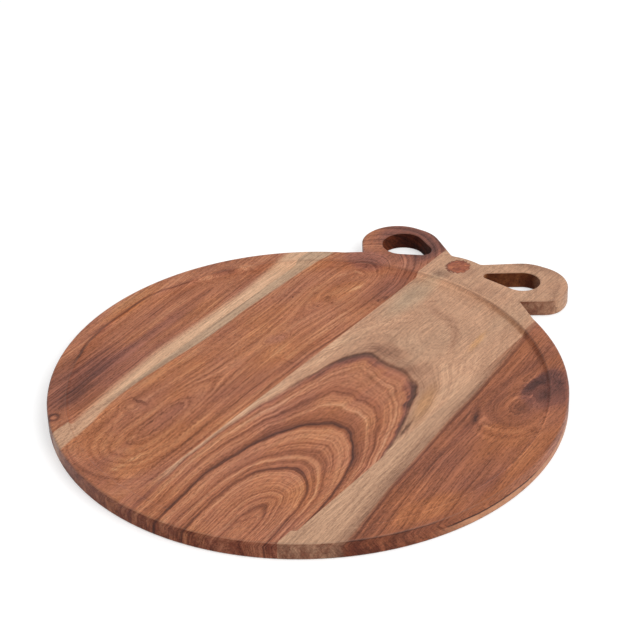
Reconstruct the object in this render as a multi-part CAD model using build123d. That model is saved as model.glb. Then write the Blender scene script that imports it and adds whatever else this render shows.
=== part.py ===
from build123d import *
import math
import os

# Round serving board with a bow-shaped handle, made of four staves glued edge to edge.
# Millimetres and degrees. The grain and the handle run along +Y, +Z is up, and the origin is
# the middle of the disc on its underside.

# The glued-up blank
disc_radius = 200.0
board_thickness = 15.0
top_edge_round = 2.0
foot_edge_round = 1.5

# The disc's corners are eased with hand tools, each as a row of short flats on the arc
easing_flats = 4

# The serving recess inside its raised rim
rim_width = 14.0
recess_depth = 4.6
wall_slope = 60.0
cove_radius = 4.0
lip_round = 1.5

# The glued joints. The first lies left of the middle by a share of the disc's radius, the second
# runs beside the knot, and the third just clears the right loop of the bow.
first_joint_share = 0.5825
knot_to_joint = 24.0
loop_to_joint = 1.0

# The bow, sawn round a pattern drawn for a disc of this radius and enlarged or reduced with the
# disc. Its reaches are counted outward from the disc's edge. It was sawn by hand, so it stands
# a little off the disc's middle line and is slightly turned.
pattern_radius = 200.0
bow_offset = 3.5
bow_turn = 1.6
bow_reach = 48.4
bow_half_width = 96.2

# The knot in the bow's middle, and the waists where the two loops leave it
knot_reach = 25.6
knot_radius = 52.4
waist_reach = 22.6
waist_half_width = 12.6
waist_round = 5.0

# The loops: how they rise from the waists and round their ends
loop_rise = 36.4
loop_top_round = 31.9
loop_end_round = 31.7

# The heels: each slopes from the loop's side in to a notch, and a straight run from the notch
# meets the disc's edge a little further round. The right loop has the deeper notch.
left_heel_reach = 9.0
left_heel_slope = 54.6
left_notch_depth = 13.8
left_run_inset = 1.2
right_heel_reach = 6.5
right_heel_slope = 33.0
right_notch_depth = 25.7
right_run_inset = 3.0

# How far the bow reaches into the disc
bow_root = 45.0

# The end's round may use this share of a straight side, and the next round this share of the rest
end_round_share = 0.8
next_round_share = 0.96

# The finger openings, each a large round end and a small one. Their middles lie out from the
# bow's middle by shares of its half width, and out from the disc's edge by shares of its reach.
left_end_across_share = 0.6279
left_end_reach_share = 0.3967
left_end_radius = 17.7
left_tip_across_share = 0.4293
left_tip_reach_share = 0.3802
left_tip_radius = 8.6
right_end_across_share = 0.5946
right_end_reach_share = 0.3657
right_end_radius = 14.6
right_tip_across_share = 0.3035
right_tip_reach_share = 0.2231
right_tip_radius = 4.5

# Both openings are rounded over at the top and have their arris taken off underneath
opening_top_round = 1.2
opening_foot_bevel = 0.8

# How far cutting tools run past what they cut
overrun = 5.0


def nearest_vertex(shape, x, y):
    """The vertex of a flat shape that lies nearest to a point."""
    return shape.vertices().sort_by_distance((x, y, 0))[0]


def enlargement():
    """How much larger the bow is than its pattern."""
    return disc_radius / pattern_radius


def disc_reach(x):
    """How far out the disc's edge lies at a place across the bow, on the bow's own axis."""
    middle = Vector(-bow_offset, -pattern_radius).rotate(Axis.Z, -bow_turn)
    return middle.Y + math.sqrt(pattern_radius**2 - (x - middle.X) ** 2)


def loop_outline(side, heel_reach, heel_slope, notch_depth, run_inset):
    """The bow's left (side -1) or right (side 1) loop, drawn to the right of its own axis."""
    rise = math.tan(math.radians(loop_rise))
    heel = math.tan(math.radians(heel_slope))
    start_reach = waist_reach - waist_half_width * rise
    shoulder_x = (bow_reach - start_reach) / rise
    run_x = bow_half_width - run_inset
    corners = [
        (0, start_reach),
        (shoulder_x, bow_reach),
        (bow_half_width, bow_reach),
        (bow_half_width, heel_reach),
        (bow_half_width - notch_depth, heel_reach - notch_depth * heel),
        (run_x, disc_reach(side * run_x)),
        (run_x, -bow_root),
        (0, -bow_root),
    ]
    loop = make_face(Polyline(*corners, close=True))

    # The end's round comes first, and the shoulder's and the heel's share what it leaves
    top_length = bow_half_width - shoulder_x
    side_length = bow_reach - heel_reach
    heel_length = notch_depth / math.cos(math.radians(heel_slope))
    end_round = min(loop_end_round, end_round_share * min(top_length, side_length))
    shoulder_room = next_round_share * (top_length - end_round)
    heel_room = next_round_share * min(side_length - end_round, heel_length)
    shoulder_round = min(loop_top_round, shoulder_room / math.tan(math.radians(loop_rise) / 2))
    heel_round = heel_room / math.tan(math.radians(90 - heel_slope) / 2)
    loop = fillet(nearest_vertex(loop, shoulder_x, bow_reach), shoulder_round)
    loop = fillet(nearest_vertex(loop, bow_half_width, bow_reach), end_round)
    return fillet(nearest_vertex(loop, bow_half_width, heel_reach), heel_round)


def bow_outline():
    """The bow on its own axis: the knot and the two loops."""
    left = loop_outline(-1, left_heel_reach, left_heel_slope, left_notch_depth, left_run_inset)
    right = loop_outline(1, right_heel_reach, right_heel_slope, right_notch_depth, right_run_inset)
    knot = Pos(0, knot_reach - knot_radius) * Circle(knot_radius)
    bow = knot + right + mirror(left, about=Plane.YZ)
    waists = [nearest_vertex(bow, side * waist_half_width, waist_reach) for side in (-1, 1)]
    return fillet(waists, waist_round)


def bow_place(side, across_share, reach_share):
    """A place on the bow's left (side -1) or right (side 1), by shares of its size."""
    return Pos(side * across_share * bow_half_width, reach_share * bow_reach)


def left_opening():
    """The left finger opening, with a blunt inner end."""
    end = bow_place(-1, left_end_across_share, left_end_reach_share) * Circle(left_end_radius)
    tip = bow_place(-1, left_tip_across_share, left_tip_reach_share) * Circle(left_tip_radius)
    return make_hull([end.edge(), tip.edge()])


def right_opening():
    """The right finger opening, drawn out to a narrow tip."""
    end = bow_place(1, right_end_across_share, right_end_reach_share) * Circle(right_end_radius)
    tip = bow_place(1, right_tip_across_share, right_tip_reach_share) * Circle(right_tip_radius)
    return make_hull([end.edge(), tip.edge()])


def flat_face(plate, place):
    """The plate's underside for place 0, or its top for place -1."""
    return plate.faces().sort_by(Axis.Z)[place]


def opening_edges(plate, place):
    """The edges of both openings on the plate's underside or top."""
    return [edge for wire in flat_face(plate, place).inner_wires() for edge in wire.edges()]


def bow():
    """The bow as a plate with all its edges rounded over."""
    plate = extrude(scale(bow_outline(), by=enlargement()), board_thickness)
    plate = fillet(flat_face(plate, -1).outer_wire().edges(), top_edge_round)
    plate = fillet(flat_face(plate, 0).outer_wire().edges(), foot_edge_round)
    openings = left_opening() + right_opening()
    plate = plate - extrude(scale(openings, by=enlargement()), board_thickness)
    plate = fillet(opening_edges(plate, -1), opening_top_round)
    return chamfer(opening_edges(plate, 0), opening_foot_bevel)


def eased(before, corner, after, radius):
    """Points along the arc that eases a corner of a section, from one side to the other."""
    toward = (Vector(*before) - Vector(*corner)).normalized()
    away = (Vector(*after) - Vector(*corner)).normalized()
    middle = (toward + away).normalized()
    half = toward.get_angle(away) / 2
    centre = Vector(*corner) + middle * (radius / math.sin(math.radians(half)))
    side = math.copysign(1, toward.cross(middle).Z)
    turns = [side * (90 - half) * (1 - 2 * step / easing_flats) for step in range(easing_flats + 1)]
    return [centre - middle.rotate(Axis.Z, turn) * radius for turn in turns]


def turned(section):
    """A solid turned about the disc's axis from a section of radii and heights."""
    face = make_face(Plane.XZ * Polyline(*section, close=True))
    return Rot(0, 0, 90) * revolve(face, Axis.Z)


def disc():
    """The round of the board, its foot and top corners eased."""
    centre_foot = (0, 0)
    foot = (disc_radius, 0)
    top = (disc_radius, board_thickness)
    centre_top = (0, board_thickness)
    foot_points = eased(centre_foot, foot, top, foot_edge_round)
    top_points = eased(foot, top, centre_top, top_edge_round)
    return turned([centre_foot, *foot_points, *top_points, centre_top])


def recess():
    """What the router takes out: a flat floor, a cove, a sloping wall and an eased lip."""
    slope = math.tan(math.radians(wall_slope))
    lip_radius = disc_radius - rim_width
    centre_floor = (0, board_thickness - recess_depth)
    cove = (lip_radius - recess_depth / slope, board_thickness - recess_depth)
    lip = (lip_radius, board_thickness)
    rim = (disc_radius, board_thickness)
    cove_points = eased(centre_floor, cove, lip, cove_radius)
    lip_points = eased(cove, lip, rim, lip_round)
    above = (lip_points[-1].X, board_thickness + overrun)
    centre_above = (0, board_thickness + overrun)
    return turned([centre_floor, *cove_points, *lip_points, above, centre_above])


def whole_board():
    """The disc with the bow on its edge and the recess in its top."""
    place = Pos(bow_offset * enlargement(), disc_radius) * Rot(0, 0, bow_turn)
    return disc() + place * bow() - recess()


def stave(board, low_x, high_x):
    """The strip of the board between two glued joints."""
    length = 2 * (disc_radius + bow_reach * enlargement() + overrun)
    strip = Box(high_x - low_x, length, board_thickness + overrun)
    return board & Pos((low_x + high_x) / 2, 0, board_thickness / 2) * strip


def joints():
    """Where the three glued joints lie, from left to right."""
    loop_side = Vector(bow_half_width, right_heel_reach).rotate(Axis.Z, bow_turn).X
    first = -first_joint_share * disc_radius
    second = (bow_offset - knot_to_joint) * enlargement()
    third = (bow_offset + loop_side) * enlargement() + loop_to_joint
    return first, second, third


def main():
    board = whole_board()
    outside = disc_radius + overrun
    first, second, third = joints()
    staves = {
        "left_outer_stave": (-outside, first),
        "left_inner_stave": (first, second),
        "right_inner_stave": (second, third),
        "right_outer_stave": (third, outside),
    }
    print("joints at", [round(place, 2) for place in (first, second, third)])
    os.makedirs("parts", exist_ok=True)
    for name, (low_x, high_x) in staves.items():
        piece = stave(board, low_x, high_x)
        piece.label = name
        export_step(piece, f"parts/{name}.step")
        size = [round(length, 2) for length in piece.bounding_box().size]
        print(name, "volume", round(piece.volume), "size", size)


main()
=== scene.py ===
import bpy
import math
from mathutils import Matrix

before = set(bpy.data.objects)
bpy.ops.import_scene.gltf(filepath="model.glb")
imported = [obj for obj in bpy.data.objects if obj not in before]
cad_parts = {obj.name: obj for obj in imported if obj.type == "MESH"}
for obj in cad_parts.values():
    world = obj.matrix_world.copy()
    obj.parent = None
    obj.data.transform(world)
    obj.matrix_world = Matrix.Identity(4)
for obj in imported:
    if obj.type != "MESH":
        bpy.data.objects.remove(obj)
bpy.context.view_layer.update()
print("loaded the board:", ", ".join(sorted(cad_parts)))


# Small helpers for node trees. A value may be a number, a colour or another node's output.

nodeGrid = {"columns": 12, "width": 190, "height": 260}  # a plain grid, easy to scan


def addNode(tree, kind, settings=None, inputs=None):
    made = tree.nodes.new(kind)
    for name, value in (settings or {}).items():
        setattr(made, name, value)
    for name, value in (inputs or {}).items():
        feed(tree, value, made.inputs[name])
    row, column = divmod(len(tree.nodes), nodeGrid["columns"])
    made.location = (column * nodeGrid["width"], -row * nodeGrid["height"])
    return made


def feed(tree, value, socket):
    if isinstance(value, bpy.types.NodeSocket):
        tree.links.new(value, socket)
    elif isinstance(value, tuple) and socket.type == "RGBA":
        socket.default_value = (*value, 1.0)
    else:
        socket.default_value = value


def calc(tree, operation, *values):
    return addNode(tree, "ShaderNodeMath", {"operation": operation}, dict(enumerate(values))).outputs[0]


def plus(tree, *values):
    total = values[0]
    for value in values[1:]:
        total = calc(tree, "ADD", total, value)
    return total


def times(tree, *values):
    product = values[0]
    for value in values[1:]:
        product = calc(tree, "MULTIPLY", product, value)
    return product


def minus(tree, value, taken):
    return calc(tree, "SUBTRACT", value, taken)


def apart(tree, value, other):
    return calc(tree, "ABSOLUTE", minus(tree, value, other))


def timesPlus(tree, value, factor, start):
    return calc(tree, "MULTIPLY_ADD", value, factor, start)


def radiusOf(tree, x, y):
    return calc(tree, "SQRT", timesPlus(tree, x, x, times(tree, y, y)))


def shiftBy(tree, value, noiseValue, amount):
    return timesPlus(tree, minus(tree, noiseValue, 0.5), amount, value)  # noise swings round 0.5


def remap(tree, value, fromLow, fromHigh, toLow=0.0, toHigh=1.0, kind="SMOOTHSTEP"):
    inputs = {"Value": value, "From Min": fromLow, "From Max": fromHigh, "To Min": toLow, "To Max": toHigh}
    return addNode(tree, "ShaderNodeMapRange", {"interpolation_type": kind}, inputs).outputs["Result"]


def fadeOut(tree, value, whole, gone):
    return remap(tree, value, whole, gone, 1.0, 0.0)


def mixColour(tree, factor, first, second, mode="MIX"):
    # A mix node's colours are its sockets 6 and 7, and its numbers 2 and 3
    settings = {"data_type": "RGBA", "blend_type": mode}
    return addNode(tree, "ShaderNodeMix", settings, {0: factor, 6: first, 7: second}).outputs[2]


def tinted(tree, share, colour, tint):
    # The colour times the tint, as far as the share says
    return mixColour(tree, share, colour, tint, mode="MULTIPLY")


def mixValue(tree, factor, first, second):
    inputs = {0: factor, 2: first, 3: second}
    return addNode(tree, "ShaderNodeMix", {"data_type": "FLOAT"}, inputs).outputs[0]


def colourRamp(tree, factor, stops):
    made = addNode(tree, "ShaderNodeValToRGB", inputs={"Fac": factor})
    elements = made.color_ramp.elements
    while len(elements) < len(stops):
        elements.new(0.5)
    for element, (place, colour) in zip(elements, stops):
        element.position = place
        element.color = (*colour, 1.0)
    return made.outputs["Color"]


def valueCurve(tree, value, points):
    # A smooth curve through points given in real units
    lowX, highX = points[0][0], points[-1][0]
    lowY, highY = min(y for x, y in points), max(y for x, y in points)
    shares = [((x - lowX) / (highX - lowX), (y - lowY) / (highY - lowY)) for x, y in points]
    share = remap(tree, value, lowX, highX, kind="LINEAR")
    made = addNode(tree, "ShaderNodeFloatCurve", inputs={"Value": share})
    line = made.mapping.curves[0]
    for place in shares[1:-1]:
        line.points.new(*place)
    line.points[0].location = shares[0]
    line.points[-1].location = shares[-1]
    made.mapping.update()
    return remap(tree, made.outputs["Value"], 0.0, 1.0, lowY, highY, kind="LINEAR")


def joinXyz(tree, x, y, z=0.0):
    return addNode(tree, "ShaderNodeCombineXYZ", inputs={"X": x, "Y": y, "Z": z}).outputs[0]


def splitXyz(tree, vector):
    return addNode(tree, "ShaderNodeSeparateXYZ", inputs={"Vector": vector}).outputs


def noise(tree, vector, detail=2.0, roughness=0.5, distortion=0.0, output="Fac"):
    # The vector comes scaled already
    inputs = {"Vector": vector, "Scale": 1.0, "Detail": detail, "Roughness": roughness,
              "Distortion": distortion}
    return addNode(tree, "ShaderNodeTexNoise", inputs=inputs).outputs[output]


def flatNoise(tree, x, y, scales, **look):
    # The scales are across and along, and the third value picks another stretch of noise
    acrossScale, alongScale, stretch = scales
    spot = joinXyz(tree, times(tree, x, acrossScale), times(tree, y, alongScale), stretch)
    return noise(tree, spot, **look)


def newGroup(name, inputs, outputs):
    # Colour sockets are named with the word Colour, vectors Place, and all else is a number
    tree = bpy.data.node_groups.new(name, "ShaderNodeTree")
    for direction, entries in (("INPUT", inputs), ("OUTPUT", outputs)):
        for entry in entries:
            kind = "NodeSocketColor" if "Colour" in entry else "NodeSocketFloat"
            kind = "NodeSocketVector" if "Place" in entry else kind
            socket = tree.interface.new_socket(entry, in_out=direction, socket_type=kind)
            if direction == "INPUT" and kind == "NodeSocketFloat":
                socket.default_value = inputs[entry]
    return tree, tree.nodes.new("NodeGroupInput").outputs, tree.nodes.new("NodeGroupOutput").inputs


def socketName(name):
    spaced = "".join(" " + letter.lower() if letter.isupper() else letter for letter in name)
    return spaced[0].upper() + spaced[1:]


def useGroup(tree, group, **values):
    # A value named halfWidth goes into the group's socket Half width
    inputs = {socketName(name): value for name, value in values.items()}
    return addNode(tree, "ShaderNodeGroup", {"node_tree": group}, inputs).outputs


# Groups that every stave's wood shares. Lengths are in millimetres on the board.

# Above the recess's floor the growth layers lean. Places on the rim and the bow are therefore
# given as they lie at the floor's height, about 4 mm to the left and 5 mm further along.
boardGrain = {
    "floorHeight": 10.4, "leanAcross": -0.84, "leanAlong": 1.11,
    "slowWander": (0.022, 0.008), "slowShift": 4.0,  # scales across and along, and how far it shifts
    "quickWander": (0.09, 0.03), "quickShift": 1.6,
    "ragged": (0.6, 0.3), "raggedDetail": 3.0, "raggedRoughness": 0.6, "raggedAlong": 2.0,
    "seedStep": 7.3, "unitsPerMetre": 1000.0,
}


def makePlaceGroup():
    # Where a point lies, with the grain's slow wander, and again with a ragged shift for spots
    facts = boardGrain
    names = ["Across", "Along", "Below", "Place", "Ragged across", "Ragged along", "Plain across",
             "Plain along", "Height"]
    tree, given, result = newGroup("boardPlace", {"Wander": 1.5, "Ragged": 5.0, "Seed": 0.0}, names)
    objectPlace = addNode(tree, "ShaderNodeTexCoord").outputs["Object"]
    inputs = {0: objectPlace, "Scale": facts["unitsPerMetre"]}
    enlarged = addNode(tree, "ShaderNodeVectorMath", {"operation": "SCALE"}, inputs).outputs[0]
    parts = splitXyz(tree, enlarged)
    fromFloor = minus(tree, parts["Z"], facts["floorHeight"])
    above = calc(tree, "MAXIMUM", fromFloor, 0.0)
    z = calc(tree, "MINIMUM", fromFloor, 0.0)
    x = timesPlus(tree, above, facts["leanAcross"], parts["X"])
    y = timesPlus(tree, above, facts["leanAlong"], parts["Y"])
    seed = times(tree, given["Seed"], facts["seedStep"])
    slow = flatNoise(tree, x, y, (*facts["slowWander"], seed), detail=1.0)
    quick = flatNoise(tree, x, y, (*facts["quickWander"], seed))
    across = shiftBy(tree, x, slow, times(tree, given["Wander"], facts["slowShift"]))
    across = shiftBy(tree, across, quick, times(tree, given["Wander"], facts["quickShift"]))
    ragged = flatNoise(tree, x, y, (*facts["ragged"], times(tree, seed, 5.0)), detail=facts["raggedDetail"],
                       roughness=facts["raggedRoughness"], output="Color")
    shifts = addNode(tree, "ShaderNodeSeparateColor", inputs={"Color": ragged}).outputs
    raggedAcross = shiftBy(tree, across, shifts[0], given["Ragged"])
    raggedAlong = shiftBy(tree, y, shifts[1], times(tree, given["Ragged"], facts["raggedAlong"]))
    values = (across, y, z, joinXyz(tree, across, y, z), raggedAcross, raggedAlong, parts["X"], parts["Y"],
              parts["Z"])
    for name, value in zip(names, values):
        feed(tree, value, result[name])
    return tree


figureLook = {
    # Scales across, along and up, then the noise's detail, roughness and distortion
    "Bands": (1.0, 0.006, 0.02, 2.0, 0.60, 0.0),
    "Fine bands": (0.58, 0.006, 0.05, 4.0, 0.74, 0.0),
    "Fibres": (0.70, 0.022, 0.5, 4.0, 0.78, 0.0),
    "Pores": (1.10, 0.24, 0.9, 2.5, 0.70, 0.2),
    "Blotches": (0.045, 0.020, 0.04, 3.0, 0.60, 0.6),
    "Warmth": (0.035, 0.014, 0.03, 2.0, 0.50, 0.0),
}
figureShared = {"seedStep": 31.7, "poresInDarkLines": -0.65, "poreRange": (0.47, 0.63)}


def makeFigureGroup():
    # Growth bands, fine lines, fibres, pores and blotches that follow a figure value
    inputs = {"Place": 0.0, "Figure": 0.0, "Band size": 6.0, "Seed": 0.0}
    tree, given, result = newGroup("woodFigure", inputs, list(figureLook))
    parts = splitXyz(tree, given["Place"])
    seed = times(tree, given["Seed"], figureShared["seedStep"])
    bandPlace = calc(tree, "DIVIDE", given["Figure"], given["Band size"])
    followed = {"Bands": bandPlace, "Fine bands": given["Figure"]}
    made = {}
    for name, (across, along, up, detail, roughness, distortion) in figureLook.items():
        start = timesPlus(tree, followed.get(name, parts["X"]), across, seed)
        spot = joinXyz(tree, start, times(tree, parts["Y"], along), times(tree, parts["Z"], up))
        made[name] = noise(tree, spot, detail, roughness, distortion)
    dashes = shiftBy(tree, made["Pores"], made["Fine bands"], figureShared["poresInDarkLines"])
    made["Pores"] = remap(tree, dashes, *figureShared["poreRange"])
    for name, value in made.items():
        feed(tree, value, result[name])
    return tree


def makeStreakGroup():
    # A soft-sided streak along the grain, between two places along it
    inputs = {"Across": 0.0, "Along": 0.0, "Centre": 0.0, "Half width": 2.0, "Start": -100.0, "End": 100.0,
              "Fade": 25.0}
    tree, given, result = newGroup("grainStreak", inputs, ["Mask"])
    side = fadeOut(tree, apart(tree, given["Across"], given["Centre"]), 0.0, given["Half width"])
    began = remap(tree, given["Along"], given["Start"], plus(tree, given["Start"], given["Fade"]))
    lasts = fadeOut(tree, given["Along"], minus(tree, given["End"], given["Fade"]), given["End"])
    feed(tree, times(tree, side, began, lasts), result["Mask"])
    return tree


def makeSpotGroup():
    # A soft oval spot that can lean, and its distance for rings round it
    inputs = {"Across": 0.0, "Along": 0.0, "Centre across": 0.0, "Centre along": 0.0, "Half width": 5.0,
              "Half length": 5.0, "Softness": 0.5, "Lean": 0.0}
    tree, given, result = newGroup("ovalSpot", inputs, ["Mask", "Distance"])
    awayY = minus(tree, given["Along"], given["Centre along"])
    sideways = minus(tree, given["Across"], given["Centre across"])
    awayX = minus(tree, sideways, times(tree, awayY, given["Lean"]))
    offX = calc(tree, "DIVIDE", awayX, given["Half width"])
    offY = calc(tree, "DIVIDE", awayY, given["Half length"])
    distance = radiusOf(tree, offX, offY)
    feed(tree, fadeOut(tree, distance, minus(tree, 1.0, given["Softness"]), 1.0), result["Mask"])
    feed(tree, distance, result["Distance"])
    return tree


# The painted shade on the recess's wall shows at the far right only. To its left, and at the near right,
# the wall is painted a little paler instead, as painted light.
wallShadeLook = {
    "radius": 184.8, "wallWidth": (1.6, 3.2), "wallFrom": (10.4, 10.9),
    "level": 12.2, "levelFade": (0.6, 3.0), "patches": (0.06, 0.06, 2.0),
    # The tint darkens the wall as painted shade, and the pale tint lightens it as painted light
    "patchDepth": (0.3, 0.6, 0.4, 1.0), "tint": (0.55, 0.36, 0.21), "farSide": (100.0, 135.0),
    "paleNear": (110.0, 150.0), "paleFar": (20.0, 85.0, 0.8, 0.0), "paleTint": (1.28, 1.28, 1.28),
}


def makeWallShadeGroup():
    # Patchy painted shade at the foot of the recess's wall, and where the wall is, for painted light
    facts = wallShadeLook
    inputs = {"Plain across": 0.0, "Plain along": 0.0, "Height": 0.0, "Radius": facts["radius"],
              "Level": facts["level"]}
    tree, given, result = newGroup("paintedWallShade", inputs, ["Mask", "Wall"])
    x, y = given["Plain across"], given["Plain along"]
    near = fadeOut(tree, apart(tree, radiusOf(tree, x, y), given["Radius"]), *facts["wallWidth"])
    low = fadeOut(tree, apart(tree, given["Height"], given["Level"]), *facts["levelFade"])
    feed(tree, times(tree, near, remap(tree, given["Height"], *facts["wallFrom"])), result["Wall"])
    patchy = remap(tree, flatNoise(tree, x, y, facts["patches"]), *facts["patchDepth"])
    feed(tree, times(tree, near, low, patchy), result["Mask"])
    return tree


woodTones = {  # each from its darkest line to its palest
    "orange": [(0.0, (0.072, 0.022, 0.012)), (0.2, (0.165, 0.049, 0.020)), (0.4, (0.295, 0.093, 0.036)),
               (0.6, (0.420, 0.146, 0.060)), (0.8, (0.535, 0.222, 0.096)), (1.0, (0.650, 0.340, 0.175))],
    "purple": [(0.0, (0.042, 0.017, 0.016)), (0.2, (0.115, 0.041, 0.032)), (0.4, (0.215, 0.073, 0.049)),
               (0.6, (0.335, 0.120, 0.077)), (0.8, (0.440, 0.175, 0.112)), (1.0, (0.550, 0.262, 0.172))],
    "sap": [(0.0, (0.130, 0.062, 0.036)), (0.25, (0.270, 0.130, 0.078)), (0.5, (0.440, 0.235, 0.142)),
            (0.75, (0.560, 0.312, 0.190)), (1.0, (0.700, 0.430, 0.265))],
    "greySap": (0.94, 1.13, 1.20),  # what grey sapwood is of cream sapwood
}


def makeToneGroup():
    # Turns tones from 0 to 1 into heartwood and sapwood colours and mixes them
    inputs = {"Heart tone": 0.5, "Warmth": 0.5, "Sap tone": 0.5, "Greyness": 0.0, "Sapwood": 0.0}
    tree, given, result = newGroup("woodTone", inputs, ["Colour"])
    orange = colourRamp(tree, given["Heart tone"], woodTones["orange"])
    purple = colourRamp(tree, given["Heart tone"], woodTones["purple"])
    heart = mixColour(tree, remap(tree, given["Warmth"], 0.0, 1.0, kind="LINEAR"), purple, orange)
    sap = colourRamp(tree, given["Sap tone"], woodTones["sap"])
    sap = tinted(tree, given["Greyness"], sap, woodTones["greySap"])
    feed(tree, mixColour(tree, given["Sapwood"], heart, sap), result["Colour"])
    return tree


finishLook = {
    "fibreShade": (0.3, 0.7, 0.68, 1.35), "poreShade": 0.40, "poreColour": (0.050, 0.018, 0.010),
    # How far a face may tip before it no longer counts as upright, and the mottle of sawn faces
    "upright": (0.2, 0.5), "mottle": (0.11, 0.11, 0.07), "mottleDetail": 3.0, "mottleRoughness": 0.65,
    "sideFacing": (0.32, 0.50), "sidePatches": (0.3, 0.7, 0.6, 1.0), "sidePale": (0.64, 0.33, 0.19),
    "endFacing": (0.26, 0.78), "endPatches": (0.35, 0.65, 0.5, 1.0), "endTint": (0.38, 0.24, 0.22),
    # The left side is paler and duller, a painted reflection; the finger openings are dark inside, painted
    # shade, and dull
    "leftFacing": (-0.9, -0.3, 0.55, 0.0), "leftVeil": (0.34, 0.25, 0.24),
    "insideShadeTint": (0.46, 0.28, 0.15), "insideRoughness": 0.35,
    # The eased outer corners: mid height, how far from it they begin, how much they face up, and the
    # painted shade that darkens them
    "midHeight": 7.5, "cornerFrom": (5.6, 6.6), "cornerStart": (0.15, 0.45), "cornerEnd": (0.70, 0.97),
    "cornerShade": 0.22, "cornerColour": (0.16, 0.11, 0.09),
    "roughness": 0.42, "poreRoughness": 0.16, "fibreRoughness": 0.2,
    "relief": {"Pores": -0.7, "Fibres": 0.5, "Fine bands": 0.3},
    "reliefStrength": 0.3, "reliefDepth": 0.0004, "ior": 1.45, "specular": 0.17,
    "sapPores": -0.30,  # pores are finer in sapwood
}


def makeFinishGroup():
    # Pores, end grain on the sawn edges, painted shade on the eased corners, the oiled surface's roughness
    # and relief
    facts = finishLook
    inputs = {"Colour": 0.0, "Place": 0.0, "Pores": 0.0, "Fibres": 0.5, "Fine bands": 0.5, "Inside": 0.0,
              "Side pale": 0.0, "Level": 0.0}
    tree, given, result = newGroup("oiledFinish", inputs, ["Colour", "Roughness", "Height"])
    facing = splitXyz(tree, addNode(tree, "ShaderNodeTexCoord").outputs["Normal"])
    level = calc(tree, "ABSOLUTE", facing["Z"])
    alongFacing = calc(tree, "ABSOLUTE", facing["Y"])
    upright = fadeOut(tree, level, *facts["upright"])
    parts = splitXyz(tree, given["Place"])
    spot = [times(tree, parts[place], scale) for place, scale in enumerate(facts["mottle"])]
    mottle = noise(tree, joinXyz(tree, *spot), facts["mottleDetail"], facts["mottleRoughness"])

    fibreShade = remap(tree, given["Fibres"], *facts["fibreShade"], kind="LINEAR")
    allThree = {"Red": fibreShade, "Green": fibreShade, "Blue": fibreShade}
    fibreTint = addNode(tree, "ShaderNodeCombineColor", inputs=allThree).outputs[0]
    colour = tinted(tree, 1.0, given["Colour"], fibreTint)
    colour = mixColour(tree, times(tree, given["Pores"], facts["poreShade"]), colour, facts["poreColour"])
    # Side pale: paler side grain, partly painted light on the lit side
    sideShare = times(tree, upright, remap(tree, mottle, *facts["sidePatches"]), given["Side pale"],
                      fadeOut(tree, alongFacing, *facts["sideFacing"]))
    colour = mixColour(tree, sideShare, colour, facts["sidePale"])
    endShare = times(tree, upright, remap(tree, alongFacing, *facts["endFacing"]),
                     remap(tree, mottle, *facts["endPatches"]))
    colour = tinted(tree, endShare, colour, facts["endTint"])
    outside = minus(tree, 1.0, given["Inside"])
    # Painted reflection: sawn faces turned to the left mixed paler and greyer
    leftSheenShare = times(tree, upright, remap(tree, facing["X"], *facts["leftFacing"]), outside)
    colour = mixColour(tree, leftSheenShare, colour, facts["leftVeil"])
    # Painted shade: the upright walls of the finger openings darkened
    inside = times(tree, given["Inside"], upright)
    colour = tinted(tree, inside, colour, facts["insideShadeTint"])
    # Painted shade: the eased outer corners mixed darker
    corner = remap(tree, apart(tree, given["Level"], facts["midHeight"]), *facts["cornerFrom"])
    corner = times(tree, corner, remap(tree, level, *facts["cornerStart"]),
                   fadeOut(tree, level, *facts["cornerEnd"]), facts["cornerShade"])
    feed(tree, mixColour(tree, corner, colour, facts["cornerColour"]), result["Colour"])

    rough = timesPlus(tree, given["Pores"], facts["poreRoughness"], facts["roughness"])
    rough = shiftBy(tree, rough, given["Fibres"], facts["fibreRoughness"])
    feed(tree, timesPlus(tree, inside, facts["insideRoughness"], rough), result["Roughness"])
    heights = [times(tree, given[name], depth) for name, depth in facts["relief"].items()]
    feed(tree, plus(tree, *heights), result["Height"])
    return tree


groups = {
    "place": makePlaceGroup(),
    "figure": makeFigureGroup(),
    "streak": makeStreakGroup(),
    "spot": makeSpotGroup(),
    "scorch": makeWallShadeGroup(),
    "tone": makeToneGroup(),
    "finish": makeFinishGroup(),
}
print("shared node groups:", ", ".join(group.name for group in bpy.data.node_groups))


# Steps that every stave's material takes

staveShared = {"spotSoftness": 0.8, "swirlSoftness": 0.9, "openingSoftness": 0.1, "warmthSwing": 1.6}


def startWood(name, facts):
    material = bpy.data.materials.new(name)
    material.use_nodes = True
    tree = material.node_tree
    return material, tree, useGroup(tree, groups["place"], wander=facts["wander"], seed=facts["seed"])


def woodFigure(tree, place, ring, facts):
    return useGroup(tree, groups["figure"], place=place["Place"], figure=ring, seed=facts["seed"],
                    bandSize=facts["bandSize"])


def mixedTone(tree, figure, base, bands, fine, blotches):
    # A tone from its base value and how strongly each kind of figure shows
    tone = base
    for name, amount in (("Bands", bands), ("Fine bands", fine), ("Blotches", blotches)):
        tone = shiftBy(tree, tone, figure[name], amount)
    return tone


def addStreaks(tree, tone, place, streaks, across=None):
    # Each streak is (centre, half width, start, end, change of tone)
    for centre, halfWidth, start, end, change in streaks:
        made = useGroup(tree, groups["streak"], across=across or place["Across"], along=place["Along"],
                        centre=centre, halfWidth=halfWidth, start=start, end=end)
        tone = timesPlus(tree, made["Mask"], change, tone)
    return tone


def ovalSpot(tree, place, x, y, halfWidth, halfLength, lean=0.0, softness=0.6, ragged=True):
    across, along = ("Ragged across", "Ragged along") if ragged else ("Plain across", "Plain along")
    return useGroup(tree, groups["spot"], across=place[across], along=place[along], centreAcross=x,
                    centreAlong=y, halfWidth=halfWidth, halfLength=halfLength, softness=softness, lean=lean)


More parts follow.
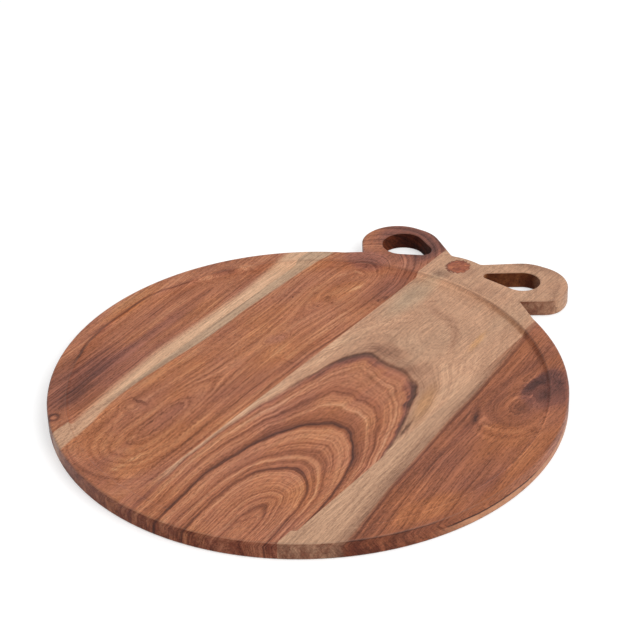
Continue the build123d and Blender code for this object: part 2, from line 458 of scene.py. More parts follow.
def addSpots(tree, tone, place, spots):
    # Each spot is (across, along, half width, half length, lean, change of tone)
    for *oval, change in spots:
        mask = ovalSpot(tree, place, *oval, softness=staveShared["spotSoftness"])["Mask"]
        tone = timesPlus(tree, mask, change, tone)
    return tone


def bendRound(tree, ring, place, swirls):
    # The figure flows round small knots: (across, along, half width, half length, lean)
    for swirl in swirls:
        spot = ovalSpot(tree, place, *swirl, softness=staveShared["swirlSoftness"])
        halfWidth = swirl[2]
        ring = mixValue(tree, spot["Mask"], ring, times(tree, spot["Distance"], halfWidth))
    return ring


def addRings(tree, tone, ring, rings):
    # Each ring is (radius, half width, change of tone)
    for radius, halfWidth, change in rings:
        tone = timesPlus(tree, fadeOut(tree, apart(tree, ring, radius), 0.0, halfWidth), change, tone)
    return tone


def openingMask(tree, place, facts):
    softness = staveShared["openingSoftness"]
    return ovalSpot(tree, place, *facts["opening"], softness=softness, ragged=False)["Mask"]


def warmthOf(tree, place, figure, facts):
    warmth = shiftBy(tree, facts["warmth"], figure["Warmth"], staveShared["warmthSwing"])
    return addSpots(tree, warmth, place, facts["warm"])


def withWallShade(tree, colour, place, reach):
    # Painted shade on the recess's wall at the far right, and painted light on the rest of the wall
    facts = wallShadeLook
    across, along = place["Plain across"], place["Plain along"]
    wall = useGroup(tree, groups["scorch"], height=place["Height"], plainAcross=across, plainAlong=along)
    farther = remap(tree, along, *facts["farSide"])
    share = times(tree, remap(tree, across, *reach), farther, wall["Mask"])
    paleNear = remap(tree, across, *facts["paleNear"])
    paleFar = remap(tree, across, *facts["paleFar"])
    pale = times(tree, wall["Wall"], mixValue(tree, farther, paleNear, paleFar))
    return tinted(tree, share, tinted(tree, pale, colour, facts["paleTint"]), facts["tint"])


def oiledSurface(tree, colour, place, figure, sapwood, inside=0.0, sidePale=0.0):
    facts = finishLook
    pores = times(tree, figure["Pores"], timesPlus(tree, sapwood, facts["sapPores"], 1.0))
    finish = useGroup(tree, groups["finish"], colour=colour, place=place["Place"], level=place["Height"],
                      pores=pores, fibres=figure["Fibres"], fineBands=figure["Fine bands"], inside=inside,
                      sidePale=sidePale)
    shader = tree.nodes["Principled BSDF"]
    feed(tree, finish["Colour"], shader.inputs["Base Color"])
    feed(tree, finish["Roughness"], shader.inputs["Roughness"])
    shader.inputs["IOR"].default_value = facts["ior"]
    shader.inputs["Specular IOR Level"].default_value = facts["specular"]
    relief = {"Height": finish["Height"], "Strength": facts["reliefStrength"],
              "Distance": facts["reliefDepth"]}
    feed(tree, addNode(tree, "ShaderNodeBump", inputs=relief).outputs["Normal"], shader.inputs["Normal"])


# In each stave's dictionary, wander is how far the grain strays and layerSlant how far the growth
# layers slant below the surface. Heart and sap hold a base tone and how strongly bands, fine bands and
# blotches show in it. Where sapBase gives that tone, sap holds only the other three. Warm lists spots
# that turn more orange, or more purple where the change is below zero, and swirls are small knots that
# the lines flow round. Of four values in a range, the first two turn into the last two.

# The left outer stave: red-brown, purple streaks, a cream sapwood band along the joint

leftOuter = {
    "wander": 1.4, "seed": 1, "bandSize": 9, "grainTurn": 0.05, "layerSlant": 0.5,
    "heart": (0.63, 0.5, 1.05, 0.35), "sap": (0.91, 0.15, 0.3, 0.2), "warmth": 0.55,
    "streaks": [(-166, 3.5, -110, 70, -0.16), (-151, 5, -130, 80, -0.16), (-143, 2.5, -120, 60, -0.12),
                (-134, 3.5, -150, 20, -0.12), (-157, 3, -60, 60, 0.1)],
    "spots": [(-195, 20, 9, 60, 0, 0.16), (-152, -95, 36, 80, 0, -0.2), (-140, -115, 18, 30, 0, -0.1),
              (-158, 100, 9, 14, 0.4, -0.22), (-149, 116, 7, 10, 0.5, 0.2), (-166, 84, 5, 9, 0.5, 0.18)],
    "warm": [(-191, 15, 9, 65, 0, 0.6), (-148, -20, 8, 90, 0, -0.5), (-150, -95, 36, 80, 0, -0.5)],
    "swirls": [(-158, 95, 20, 26, 0.3), (-133, -142, 10, 12, 0)],
    # A dark crease that wanders along the stave
    "crease": [(-95, -166), (-70, -174), (-27, -186), (26, -188), (60, -178), (80, -168)],
    "creaseWidth": (0.3, 1.8), "creaseStart": (-95, -60), "creaseEnd": (60, 80), "creaseDark": -0.34,
    # A pin knot close to the near end
    "pin": (-129.5, -147, 5, 6),
    "pinRings": [(0.7, 0.5, -0.4)],
    # Where the sapwood band begins on its left
    "sapLeft": [(-150, -112), (-130, -119), (-90, -124), (-40, -127), (20, -127.5), (80, -126.5),
                (110, -129), (150, -134)],
    "sapFade": (-5, 4.5),
}


def leftOuterWood():
    facts = leftOuter
    material, tree, place = startWood("leftOuterWood", facts)
    across = timesPlus(tree, place["Along"], facts["grainTurn"], place["Across"])
    ring = bendRound(tree, across, place, facts["swirls"])
    ring = timesPlus(tree, place["Below"], facts["layerSlant"], ring)
    figure = woodFigure(tree, place, ring, facts)
    tone = mixedTone(tree, figure, *facts["heart"])
    tone = addStreaks(tree, tone, place, facts["streaks"], across)
    tone = addSpots(tree, tone, place, facts["spots"])
    crease = apart(tree, place["Across"], valueCurve(tree, place["Along"], facts["crease"]))
    crease = times(tree, fadeOut(tree, crease, *facts["creaseWidth"]),
                   remap(tree, place["Along"], *facts["creaseStart"]),
                   fadeOut(tree, place["Along"], *facts["creaseEnd"]))
    tone = timesPlus(tree, crease, facts["creaseDark"], tone)
    pin = ovalSpot(tree, place, *facts["pin"], ragged=False)
    tone = addRings(tree, tone, pin["Distance"], facts["pinRings"])
    edge = valueCurve(tree, place["Along"], facts["sapLeft"])
    sapwood = remap(tree, minus(tree, place["Across"], edge), *facts["sapFade"])
    warmth = warmthOf(tree, place, figure, facts)
    sapTone = mixedTone(tree, figure, *facts["sap"])
    colour = useGroup(tree, groups["tone"], heartTone=tone, sapTone=sapTone, warmth=warmth, sapwood=sapwood)
    oiledSurface(tree, colour["Colour"], place, figure, sapwood)
    return material


# The left inner stave: medium red-brown with fine straight lines, a grey strip on its left edge,
# and two long eyes that narrow to a point

leftInner = {
    "wander": 1.5, "seed": 2, "bandSize": 7, "layerSlant": 0.4, "heart": (0.63, 0.42, 1.15, 0.36),
    "warmth": 0.72,
    # Where the pith lies, and how far below the top it is along the stave
    "pithAcross": -65,
    "depth": [(-195, 60), (-175, 40), (-155, 20), (-140, 11), (-98, 1), (-60, 8), (-20, 13), (60, 14),
              (105, 9), (130, 5), (156, 7), (172, 15), (200, 30), (250, 60)],
    # The lines stray more round the near eye
    "stray": (-150, 0, 1.6, 0.3),
    # Single lines round the near eye, by their distance from the pith
    "rings": [(5, 1.2, -0.14), (9.5, 1.4, -0.2), (13.5, 2.6, 0.14), (17.5, 1.2, -0.2), (21, 1.8, 0.1),
              (25, 1.2, -0.17), (31, 1.3, -0.12)],
    "ringStray": 5, "ringsEnd": (-110, -60),
    # The grey strip's right edge, and how its tone and greyness change along it
    "greyEdge": [(-180, -100), (-150, -104), (-131, -106), (-110, -110), (-88, -112), (-33, -110),
                 (24, -107.6), (71, -108), (127, -106), (170, -101)],
    "greyFade": (-1.2, 1.2), "sapBase": (-130, -60, 0.72, 0.62), "sap": (0.3, 0.7, 0.3),
    "greyness": (-130, -60, 0.1, 0.85),
    "streaks": [(-32, 1.3, -190, 100, -0.2), (-28, 1, -160, 60, -0.16), (-23.5, 1.6, -190, 140, -0.26),
                (-84, 1.2, -60, 90, -0.14), (-72, 1.2, -40, 80, -0.14), (-97, 1.4, -40, 100, -0.12)],
    "spots": [(-66, -96, 12, 42, 0, -0.08), (-65, -97, 6, 30, 0, -0.06), (-74, 152, 2.5, 8, 0.3, 0.22),
              (-53, 140, 2.5, 14, 0.2, 0.24), (-66, 162, 9, 2.5, 0, 0.2), (-70, 180, 18, 15, 0, -0.12),
              (-27, 134, 4, 3, 0, -0.24), (-32, 150, 16, 50, 0, -0.2), (-45, -140, 14, 45, 0, 0.05),
              (-95, -89, 11, 3, 0, -0.3), (-62, 126, 6, 20, 0.3, 0.14), (-63, 115, 3, 4, 0, -0.26),
              (-55, 109, 3, 4, 0, -0.26), (-61, 99, 2, 2.5, 0, -0.35), (-88, 100, 2, 2.5, 0, -0.35),
              (-25, 140, 3.5, 5, 0, -0.3), (-33, 19, 14, 1.6, 0, -0.2), (-60, 40, 8, 12, 0.4, 0.08),
              (-54, 210, 34, 22, 0, -0.16), (-36, 220, 14, 24, 0, -0.22), (-58, 240, 62, 36, 0, -0.28),
              (-68, -129, 3, 12, 0.2, 0.22), (-62, -178, 34, 16, 0, -0.08), (-50, -145, 3, 14, 0.2, 0.2),
              (-53, -164, 4, 10, 0.2, 0.2), (-75, 115, 3, 4, 0, -0.24), (-88, 107, 2.5, 3, 0, -0.24),
              (-37, 70, 9, 60, 0, 0.16)],
    "warm": [(-66, -98, 12, 44, 0, -0.15), (-45, -140, 20, 50, 0, 0.5), (-61, 130, 9, 30, 0.3, 0.9),
             (-70, 182, 26, 20, 0, -1), (-50, 205, 30, 30, 0, -0.5), (-46, 238, 60, 40, 0, -1.2),
             (-32, 165, 18, 60, 0, -0.45), (-60, 40, 9, 14, 0.4, -0.4), (-90, -150, 30, 25, 0, 0.4)],
    "swirls": [(-95, -98, 12, 14, 0), (-60, 40, 9, 16, 0.3), (-61, 112, 7, 12, 0.2),
               (-61.5, 155, 8, 12, 0.4)],
    "opening": (-52, 217.4, 29, 24.5),
}


def leftInnerWood():
    facts = leftInner
    material, tree, place = startWood("leftInnerWood", facts)
    depth = valueCurve(tree, place["Along"], facts["depth"])
    depth = timesPlus(tree, place["Below"], facts["layerSlant"], depth)
    ring = radiusOf(tree, minus(tree, place["Across"], facts["pithAcross"]), depth)
    stray = minus(tree, place["Ragged across"], place["Across"])
    ring = timesPlus(tree, stray, remap(tree, place["Along"], *facts["stray"]), ring)
    ring = bendRound(tree, ring, place, facts["swirls"])
    figure = woodFigure(tree, place, ring, facts)
    tone = mixedTone(tree, figure, *facts["heart"])
    rings = addRings(tree, 0.0, shiftBy(tree, ring, figure["Blotches"], facts["ringStray"]), facts["rings"])
    tone = timesPlus(tree, rings, fadeOut(tree, place["Along"], *facts["ringsEnd"]), tone)
    tone = addStreaks(tree, tone, place, facts["streaks"])
    tone = addSpots(tree, tone, place, facts["spots"])
    edge = valueCurve(tree, place["Along"], facts["greyEdge"])
    sapwood = fadeOut(tree, minus(tree, place["Across"], edge), *facts["greyFade"])
    warmth = warmthOf(tree, place, figure, facts)
    sapTone = mixedTone(tree, figure, remap(tree, place["Along"], *facts["sapBase"]), *facts["sap"])
    greyness = remap(tree, place["Along"], *facts["greyness"])
    colour = useGroup(tree, groups["tone"], heartTone=tone, sapTone=sapTone, warmth=warmth, sapwood=sapwood,
                      greyness=greyness)
    oiledSurface(tree, colour["Colour"], place, figure, sapwood, inside=openingMask(tree, place, facts))
    return material


# The right inner stave: nested arches of growth rings round a sloping pith, pale sapwood above them,
# and the round knot in the bow

rightInner = {
    "wander": 1.3, "seed": 3, "bandSize": 5, "layerSlant": 0.5, "heart": (0.67, 0.22, 1.05, 0.22),
    "warmth": 0.6, "warm": [],
    # The pith, how the rings are widened on its two sides, and how far below the top it lies
    "pithAcross": 51, "pithLean": -0.11, "leftScale": (-150, 0, 0.95, 0.78),
    "rightScale": (-140, -60, 1.6, 1.25),
    "depth": [(-180, 12), (-140, 16), (-120, 23.5), (-93, 37), (-60, 49), (-29, 58), (0, 63), (42, 70.6),
              (66, 78), (120, 93), (250, 130)],
    # How far the arch's top strays inward from a plain oval, from its left side to its right
    "archShift": [(-110, 0.6), (-75, 1.8), (-63, 3.4), (-52, 0.9), (-41, -0.3), (-33, -0.4), (-26, 0.8),
                  (-13, 3.8), (1, 5.1), (10, 5.1), (22, 3.2), (36, 2.1), (48, 1.6), (70, 1)],
    "archShiftFrom": (-50, 40), "waves": (0.05, 0.03, 3), "waveSize": 4.5, "stray": (70, 110, 0, 1.4),
    # Single growth lines, by their distance from the pith
    "rings": [(15.8, 1.2, -0.3), (19.5, 0.8, -0.12), (23, 1, -0.14), (27, 0.9, -0.12), (31.5, 1, -0.12),
              (34, 1.6, 0.08), (37.3, 1.7, -0.46), (39.8, 2.6, -0.16), (43.5, 1.4, 0.1), (46.5, 1.8, -0.24),
              (50, 1, -0.1), (53.5, 2.2, 0.12), (58.4, 2, -0.52), (60.8, 3.4, -0.18), (64.5, 2, 0.12),
              (68.5, 1.8, -0.2), (74, 3, 0.14)],
    # Where the heartwood ends, as a ring radius, and its jagged fade into the sapwood
    "heartEdge": 78.5, "upper": (-60, 30), "jags": (0.33, 0.07, 5), "jagSize": (3.5, 1), "edgeStart": -1,
    "edgeFade": (2.6, 1.2), "sapFrom": (-175, -120),
    # How strongly the dark line on that edge shows, from the arch's left side to its right
    "edgeShows": [(-110, 0.4), (-60, 0.5), (-48, 0.85), (-36, 1), (-22, 0.9), (-12, 0.45), (4, 0.35),
                  (14, 0.7), (22, 1), (45, 1), (70, 0.8)],
    "linePatches": (0.09, 0.06, 9), "patchDepth": (0.35, 0.55, 0.7, 1), "lineOffset": 0.4, "lineCore": 0.2,
    "lineWidth": (6, 20, 3.6, 2.4), "lineDark": -0.52, "lineCool": -0.8, "lineOnSap": -0.5,
    # The pale sapwood: smoke outside the arch, and one crooked line
    "smokeReach": 14, "smokeDark": 0.42, "sapBase": (60, 130, 0.76, 0.64), "sap": (0.22, 0.85, 0.34),
    "greyBase": 0.12, "greySwing": -1.2,
    "sapLine": [(4, 158), (13, 152), (27, 145), (37, 142), (52.7, 129), (60.5, 114.5), (68, 92)],
    "sapLineWidth": 9, "sapLineStart": (4, 16), "sapLineEnd": (60, 68), "sapLineDark": -0.2,
    # Two amber stains
    "amber": (75, 127, 4.5, 24, -0.12), "amberPatches": (0.35, 0.6, 0.15, 0.55),
    "halo": (88, 30, 11, 38, -0.3), "haloShare": 0.35, "amberColour": (0.52, 0.25, 0.075),
    "spots": [(95, -4, 2.2, 17, -0.2, -0.5), (64, -158, 2, 9, 0.2, -0.3), (0, -180, 30, 20, 0, -0.1)],
    "sapSpots": [(12, 158, 3, 10, 0.9, -0.22), (-8, 150, 9, 45, 0, -0.1), (77, 132, 4, 14, 0, 0.06),
                 (-7, 198, 14, 9, 0, -0.28), (44, 106, 12, 16, 0, -0.1), (22, 76, 26, 13, 0, -0.22),
                 (60, 66, 16, 14, 0.5, -0.16), (88, 36, 8, 34, -0.3, -0.14),
                 (95, -6.5, 2.6, 18, -0.17, -0.5), (86, 225, 34, 30, 0, -0.1), (-12, 0, 16, 85, 0, 0.24),
                 # The spot at (50, 253) darkens the bow's far edge: painted shade
                 (100, -60, 9, 45, 0, 0.16), (13, 213, 12, 12, 0, -0.14), (50, 253, 54, 14, 0, -0.22),
                 (46, 194, 34, 9, 0, -0.1)],
    "greySpots": [(-6, 150, 16, 55, 0, 0.75), (-8, 195, 12, 18, 0, 0.4), (22, 76, 26, 13, 0, -0.5),
                  (70, 60, 30, 20, 0, -0.5), (88, 36, 10, 34, -0.3, -0.5), (-12, 10, 14, 70, 0, -0.6)],
    "swirls": [(47, 116, 38, 42, 0), (0, 216, 22, 20, 0)],
    "opening": (51.4, 218, 27, 19), "scorch": (15, 95, 0, 0.6),
}


def rightInnerWood():
    facts = rightInner
    material, tree, place = startWood("rightInnerWood", facts)
    across, along = place["Across"], place["Along"]
    depth = timesPlus(tree, place["Below"], facts["layerSlant"], valueCurve(tree, along, facts["depth"]))
    side = minus(tree, across, timesPlus(tree, along, facts["pithLean"], facts["pithAcross"]))
    leftScale = remap(tree, along, *facts["leftScale"], kind="LINEAR")
    rightScale = remap(tree, along, *facts["rightScale"], kind="LINEAR")
    onRight = calc(tree, "GREATER_THAN", side, 0.0)
    ring = radiusOf(tree, times(tree, side, mixValue(tree, onRight, leftScale, rightScale)), depth)
    ring = shiftBy(tree, ring, flatNoise(tree, across, along, facts["waves"]), facts["waveSize"])
    archShift = valueCurve(tree, side, facts["archShift"])
    ring = timesPlus(tree, archShift, remap(tree, along, *facts["archShiftFrom"]), ring)
    stray = minus(tree, place["Ragged across"], across)
    loose = timesPlus(tree, stray, remap(tree, along, *facts["stray"]), ring)
    figure = woodFigure(tree, place, bendRound(tree, loose, place, facts["swirls"]), facts)
    tone = mixedTone(tree, figure, *facts["heart"])
    tone = addSpots(tree, addRings(tree, tone, ring, facts["rings"]), place, facts["spots"])

    # The heartwood ends in a smoky line, ragged and softer at the top of the arch
    upper = remap(tree, along, *facts["upper"])
    jag = flatNoise(tree, across, along, facts["jags"], detail=3.0, roughness=0.7)
    outside = minus(tree, ring, facts["heartEdge"])
    outside = shiftBy(tree, outside, jag, timesPlus(tree, upper, *facts["jagSize"]))
    sapwood = remap(tree, outside, facts["edgeStart"], timesPlus(tree, upper, *facts["edgeFade"]))
    sapwood = times(tree, sapwood, remap(tree, along, *facts["sapFrom"]))
    patchy = flatNoise(tree, across, along, facts["linePatches"], detail=1.0)
    patchy = remap(tree, patchy, *facts["patchDepth"])
    lineEnd = remap(tree, side, *facts["lineWidth"])
    line = fadeOut(tree, apart(tree, outside, facts["lineOffset"]), facts["lineCore"], lineEnd)
    line = times(tree, line, valueCurve(tree, side, facts["edgeShows"]), patchy)
    tone = timesPlus(tree, line, facts["lineDark"], tone)
    warmth = timesPlus(tree, line, facts["lineCool"], warmthOf(tree, place, figure, facts))

    # The pale sapwood, with smoke outside the line and one crooked line of its own
    sapTone = mixedTone(tree, figure, remap(tree, along, *facts["sapBase"]), *facts["sap"])
    smoke = times(tree, fadeOut(tree, outside, 0.0, facts["smokeReach"]), upper, facts["smokeDark"])
    sapLine = valueCurve(tree, place["Ragged across"], facts["sapLine"])
    crooked = apart(tree, place["Ragged along"], sapLine)
    crooked = times(tree, fadeOut(tree, crooked, 0.0, facts["sapLineWidth"]),
                    remap(tree, across, *facts["sapLineStart"]),
                    fadeOut(tree, across, *facts["sapLineEnd"]))
    sapTone = timesPlus(tree, crooked, facts["sapLineDark"], minus(tree, sapTone, smoke))
    sapTone = addSpots(tree, sapTone, place, facts["sapSpots"])
    sapTone = timesPlus(tree, line, facts["lineOnSap"], sapTone)
    greyness = shiftBy(tree, facts["greyBase"], figure["Warmth"], facts["greySwing"])
    greyness = addSpots(tree, greyness, place, facts["greySpots"])
    greyness = minus(tree, greyness, crooked)
    colour = useGroup(tree, groups["tone"], heartTone=tone, sapTone=sapTone, warmth=warmth, sapwood=sapwood,
                      greyness=greyness)["Colour"]

    amber = ovalSpot(tree, place, *facts["amber"], softness=staveShared["swirlSoftness"])
    amberShare = times(tree, amber["Mask"], remap(tree, figure["Blotches"], *facts["amberPatches"]))
    colour = mixColour(tree, amberShare, colour, facts["amberColour"])
    halo = ovalSpot(tree, place, *facts["halo"], softness=staveShared["swirlSoftness"])
    haloShare = times(tree, halo["Mask"], sapwood, facts["haloShare"])
    colour = mixColour(tree, haloShare, colour, facts["amberColour"])
    colour = withWallShade(tree, colour, place, facts["scorch"])
    colour = addKnot(tree, colour, place)
    oiledSurface(tree, colour, place, figure, sapwood, inside=openingMask(tree, place, facts))
    return material


# The knot: brick red, streaked across, dark round its outline, and darker still on its left as painted
# shade

knotLook = {
    "place": (-0.6, 215.0, 10.4, 11.4), "softness": 0.12, "streakTurn": -0.55, "streaks": (0.12, 0.42, 8.0),
    "tones": [(0.3, (0.160, 0.040, 0.022)), (0.5, (0.330, 0.094, 0.048)), (0.7, (0.520, 0.180, 0.080))],
    "outlineAt": 0.92, "outline": (0.0, 0.16, 0.8, 0.0), "leftShade": (-2.0, 12.0, 1.0, 0.15),
    "outlineColour": (0.12, 0.035, 0.02),
}


def addKnot(tree, colour, place):
    facts = knotLook
    knot = ovalSpot(tree, place, *facts["place"], softness=facts["softness"])
    crosswise = timesPlus(tree, place["Across"], facts["streakTurn"], place["Along"])
    streaky = flatNoise(tree, place["Across"], crosswise, facts["streaks"], detail=3.0, roughness=0.6,
                        distortion=0.5)
    colour = mixColour(tree, knot["Mask"], colour, colourRamp(tree, streaky, facts["tones"]))
    outline = remap(tree, apart(tree, knot["Distance"], facts["outlineAt"]), *facts["outline"])
    # Painted shade: the outline darker on the knot's left
    outline = times(tree, outline, remap(tree, place["Across"], *facts["leftShade"]))
    return mixColour(tree, outline, colour, facts["outlineColour"])


# The right outer stave: a beige wedge along the joint, then red-brown with a dark purple patch

rightOuter = {
    "wander": 1.6, "seed": 4, "bandSize": 10, "layerSlant": 0.5, "heart": (0.48, 0.34, 0.75, 0.38),
    "warmth": 0.62,
    # The beige wedge: its right edge, and how its tone changes along and across it
    "edge": [(-190, 142), (-120, 134), (-100, 131), (-60, 125), (-20, 120), (20, 116), (60, 113),
             (110, 108), (160, 102)],
    "sapFade": (-2.6, 1.6), "sapTop": (150, 60, 0.35, 1), "sapBase": (-60, 10, 0.5, 0.6),
    "sap": (0.2, 0.7, 0.3), "sapAcross": (-16, 0, 0.62, 0.3), "greyness": 0.3,
    # Streaks, counted across from the wedge's edge
    "streaks": [(1.5, 2.2, -150, 160, -0.28), (7, 3, -150, 140, -0.12), (14, 3, -130, 150, -0.1),
                (20, 2, -150, 20, 0.12), (26, 3, -150, -30, -0.08), (29, 1.2, 60, 150, 0.22)],
    # The swirl and the rings round it
    "swirl": (150, 68, 36, 52), "swirlSoftness": 0.45, "stray": 1.2,
    "rings": [(21, 3, -0.08), (26.5, 3.5, 0.16), (31, 1.8, -0.08), (35, 2, 0.07)],
    "ringsEnd": (40, 70),
    # The dark purple patch, cut off on its left
    "patch": (151, 100, 17, 30), "patchSoftness": 0.5,
    "patchEdge": [(40, 134), (80, 134.5), (98, 137.5), (124, 141), (170, 150)],
    "patchFade": (-0.5, 1.5), "patchMottle": (0.3, 0.6, 1, 0.55), "patchDark": -0.34, "patchCool": -1.2,
    # The dark line on the sawn side and the dark arris: height, half width and change of tone
    "sideLine": (6.6, 1.1, -0.8), "sideLineStray": 2, "sideLineStart": (-88, -74), "sideLineEnd": (-4, 14),
    "sidePale": (-0.8, 0.1, 0.7, 0), "arris": (13.7, 0.8, -0.3), "arrisRadius": (193, 196),
    "arrisEnd": (-98, -80),
    "spots": [(142, 95, 6, 22, 0.12, -0.12), (138, 78, 3, 6, 0, -0.2), (166, 92, 18, 26, 0, -0.14),
              (174, 47, 4, 6, 0, -0.16), (130, 28, 7, 26, 0, -0.14), (150, 84, 2, 3, 0, 0.3),
              (154, 155, 12, 20, 0, 0.16), (188, 25, 8, 60, 0, 0.08), (161, -80, 16, 40, 0.3, 0.12),
              (152, 62, 17, 17, 0, -0.16), (128, 40, 8, 26, 0, -0.12), (150, 30, 16, 10, 0, -0.06)],
    "warm": [(154, 100, 22, 40, -0.1, -0.8), (166, 92, 20, 28, 0, -0.5), (154, 155, 16, 24, 0, 0.8),
             (188, 5, 10, 80, 0, 0.5), (161, -80, 18, 44, 0.3, 0.8), (158, 28, 26, 16, 0, 0.7)],
    "scorch": (95, 100, 0, 0.6),
}


def rightOuterWood():
    facts = rightOuter
    material, tree, place = startWood("rightOuterWood", facts)
    along, height = place["Along"], place["Height"]
    across = minus(tree, place["Across"], valueCurve(tree, along, facts["edge"]))
    swirl = ovalSpot(tree, place, *facts["swirl"], softness=facts["swirlSoftness"])
    stray = minus(tree, place["Ragged across"], place["Across"])
    swirlWidth = facts["swirl"][2]
    swirlRing = timesPlus(tree, swirl["Distance"], swirlWidth, times(tree, stray, facts["stray"]))
    ring = mixValue(tree, swirl["Mask"], across, swirlRing)
    ring = timesPlus(tree, place["Below"], facts["layerSlant"], ring)
    figure = woodFigure(tree, place, ring, facts)
    tone = mixedTone(tree, figure, *facts["heart"])
    rings = addRings(tree, 0.0, swirlRing, facts["rings"])
    tone = timesPlus(tree, rings, fadeOut(tree, along, *facts["ringsEnd"]), tone)
    tone = addStreaks(tree, tone, place, facts["streaks"], across)
    tone = addSpots(tree, tone, place, facts["spots"])
    patch = ovalSpot(tree, place, *facts["patch"], softness=facts["patchSoftness"])["Mask"]
    patchSide = minus(tree, place["Across"], valueCurve(tree, along, facts["patchEdge"]))
    patch = times(tree, patch, remap(tree, patchSide, *facts["patchFade"]),
                  remap(tree, figure["Blotches"], *facts["patchMottle"]))
    tone = timesPlus(tree, patch, facts["patchDark"], tone)
    warmth = timesPlus(tree, patch, facts["patchCool"], warmthOf(tree, place, figure, facts))

    # A dark line runs along the sawn side. Below it the side is paler: partly paler side grain, partly
    # painted light on the lit side. The arris above is darker: painted shade
    lineHeight, lineHalf, lineChange = facts["sideLine"]
    offLine = minus(tree, height, shiftBy(tree, lineHeight, figure["Blotches"], facts["sideLineStray"]))
    sideLine = times(tree, fadeOut(tree, calc(tree, "ABSOLUTE", offLine), 0.0, lineHalf),
                     remap(tree, along, *facts["sideLineStart"]),
                     fadeOut(tree, along, *facts["sideLineEnd"]))
    tone = timesPlus(tree, sideLine, lineChange, tone)
    # Partly paler side grain, partly painted light: the side below the line mixed paler
    sidePale = times(tree, remap(tree, offLine, *facts["sidePale"]), minus(tree, 1.0, sideLine))
    # Painted shade: the arris darkened
    arrisHeight, arrisHalf, arrisChange = facts["arris"]
    radius = radiusOf(tree, place["Plain across"], place["Plain along"])
    arris = times(tree, fadeOut(tree, apart(tree, height, arrisHeight), 0.0, arrisHalf),
                  remap(tree, radius, *facts["arrisRadius"]),
                  fadeOut(tree, place["Plain along"], *facts["arrisEnd"]))
    tone = timesPlus(tree, arris, arrisChange, tone)

    sapwood = fadeOut(tree, across, *facts["sapFade"])
    sapwood = times(tree, sapwood, remap(tree, along, *facts["sapTop"]))
    sapTone = mixedTone(tree, figure, remap(tree, along, *facts["sapBase"]), *facts["sap"])
    sapTone = shiftBy(tree, sapTone, remap(tree, across, *facts["sapAcross"]), 1.0)
    colour = useGroup(tree, groups["tone"], heartTone=tone, sapTone=sapTone, warmth=warmth, sapwood=sapwood,
                      greyness=facts["greyness"])["Colour"]
    colour = withWallShade(tree, colour, place, facts["scorch"])
    oiledSurface(tree, colour, place, figure, sapwood, sidePale=sidePale)
    return material


staveWoods = {"left_outer_stave": leftOuterWood, "left_inner_stave": leftInnerWood,
              "right_inner_stave": rightInnerWood, "right_outer_stave": rightOuterWood}
softening = {"weldDistance": 0.00001, "sharpAngle": 34.0}


def softenEdges(stave):
    # The eased corners catch the light as rounds, while the glued joints stay crisp
    mesh = stave.data
    if mesh.has_custom_normals:
        mesh.attributes.remove(mesh.attributes["custom_normal"])
    mesh.shade_smooth()
    stave.modifiers.new("weld", "WELD").merge_threshold = softening["weldDistance"]
    split = stave.modifiers.new("crispJoints", "EDGE_SPLIT")
    split.split_angle = math.radians(softening["sharpAngle"])
    split.use_edge_sharp = False
    weighted = stave.modifiers.new("softNormals", "WEIGHTED_NORMAL")
    weighted.keep_sharp = True


for nodeName, makeWood in staveWoods.items():
    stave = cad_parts[nodeName]
    wood = makeWood()
    for slot in stave.material_slots:
        slot.material = wood
    softenEdges(stave)
    print("finished", nodeName, "with", wood.name)


# Camera, as the photograph was taken

cameraFacts = {"azimuth": 0.647, "elevation": 0.552, "roll": -0.031, "place": (0.7733, -1.0176, 0.8659),
               "lens": 115.84, "sensorWidth": 36.0}


def addCamera():
    facts = cameraFacts
    data = bpy.data.cameras.new("photoCamera")
    data.lens = facts["lens"]
    data.sensor_width = facts["sensorWidth"]
    camera = bpy.data.objects.new("photoCamera", data)
    turn = Matrix.Rotation(facts["azimuth"], 4, "Z")
    turn = turn @ Matrix.Rotation(math.pi / 2 - facts["elevation"], 4, "X")
    turn = turn @ Matrix.Rotation(facts["roll"], 4, "Z")
    camera.matrix_world = Matrix.Translation(facts["place"]) @ turn
    bpy.context.collection.objects.link(camera)
    bpy.context.scene.camera = camera


# White floor that keeps a soft shadow, and plain studio light

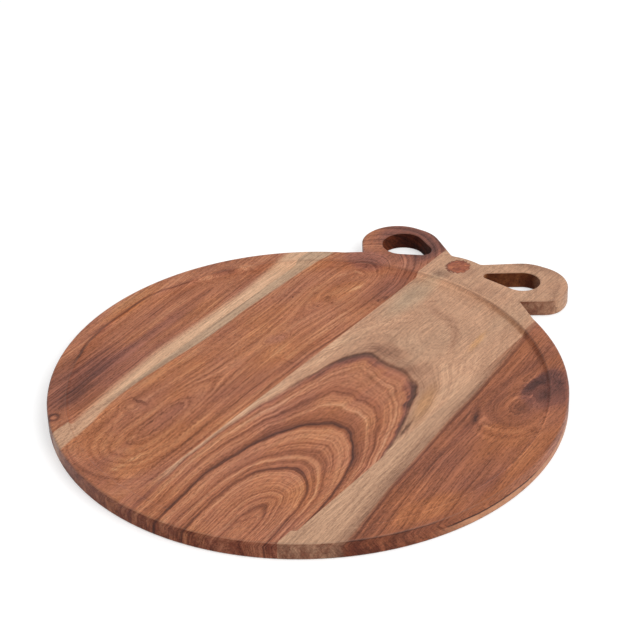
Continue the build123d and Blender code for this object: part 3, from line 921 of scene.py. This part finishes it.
studio = {
    "floorSize": 12.0, "floorGap": 0.0002,  # just under the board, so that the two never flicker
    "floorColour": (0.66, 0.66, 0.66), "floorRoughness": 0.9, "floorSpecular": 0.1, "floorLift": 0.46,
    "white": (1.0, 1.0, 1.0), "skyLight": 0.70,
    "keySize": 2.0, "keyPlace": (1.9, -0.2, 1.9), "keyPower": 40.0,
}


def whereSeen(tree):
    # 1 for the camera and for what mirrors or lets through the ground, 0 for light on the board
    rays = addNode(tree, "ShaderNodeLightPath").outputs
    throughBoth = calc(tree, "MAXIMUM", rays["Is Glossy Ray"], rays["Is Transmission Ray"])
    return calc(tree, "MAXIMUM", rays["Is Camera Ray"], throughBoth)


def addFloor():
    half, low = studio["floorSize"] / 2, -studio["floorGap"]
    corners = [(-half, -half, low), (half, -half, low), (half, half, low), (-half, half, low)]
    mesh = bpy.data.meshes.new("floor")
    mesh.from_pydata(corners, [], [(0, 1, 2, 3)])
    floor = bpy.data.objects.new("floor", mesh)
    bpy.context.collection.objects.link(floor)
    material = bpy.data.materials.new("paleFloor")
    material.use_nodes = True
    tree = material.node_tree
    shader = tree.nodes["Principled BSDF"]
    feed(tree, studio["floorColour"], shader.inputs["Base Color"])
    shader.inputs["Roughness"].default_value = studio["floorRoughness"]
    shader.inputs["Specular IOR Level"].default_value = studio["floorSpecular"]
    feed(tree, studio["white"], shader.inputs["Emission Color"])
    feed(tree, times(tree, whereSeen(tree), studio["floorLift"]), shader.inputs["Emission Strength"])
    mesh.materials.append(material)


def addLight():
    world = bpy.data.worlds.new("studioSky")
    bpy.context.scene.world = world
    world.use_nodes = True
    tree = world.node_tree
    background = tree.nodes["Background"]
    feed(tree, studio["white"], background.inputs["Color"])
    strength = remap(tree, whereSeen(tree), 0.0, 1.0, studio["skyLight"], 1.0, kind="LINEAR")
    feed(tree, strength, background.inputs["Strength"])
    lampData = bpy.data.lights.new("keyLamp", "AREA")
    lampData.shape = "DISK"
    lampData.size = studio["keySize"]
    lampData.energy = studio["keyPower"]
    lamp = bpy.data.objects.new("keyLamp", lampData)
    lamp.location = studio["keyPlace"]
    bpy.context.collection.objects.link(lamp)
    lamp.rotation_euler = (-lamp.location).to_track_quat("-Z", "Y").to_euler()


addCamera()
addFloor()
addLight()
bpy.context.scene.view_settings.view_transform = "Standard"
print("camera, floor and light are set")
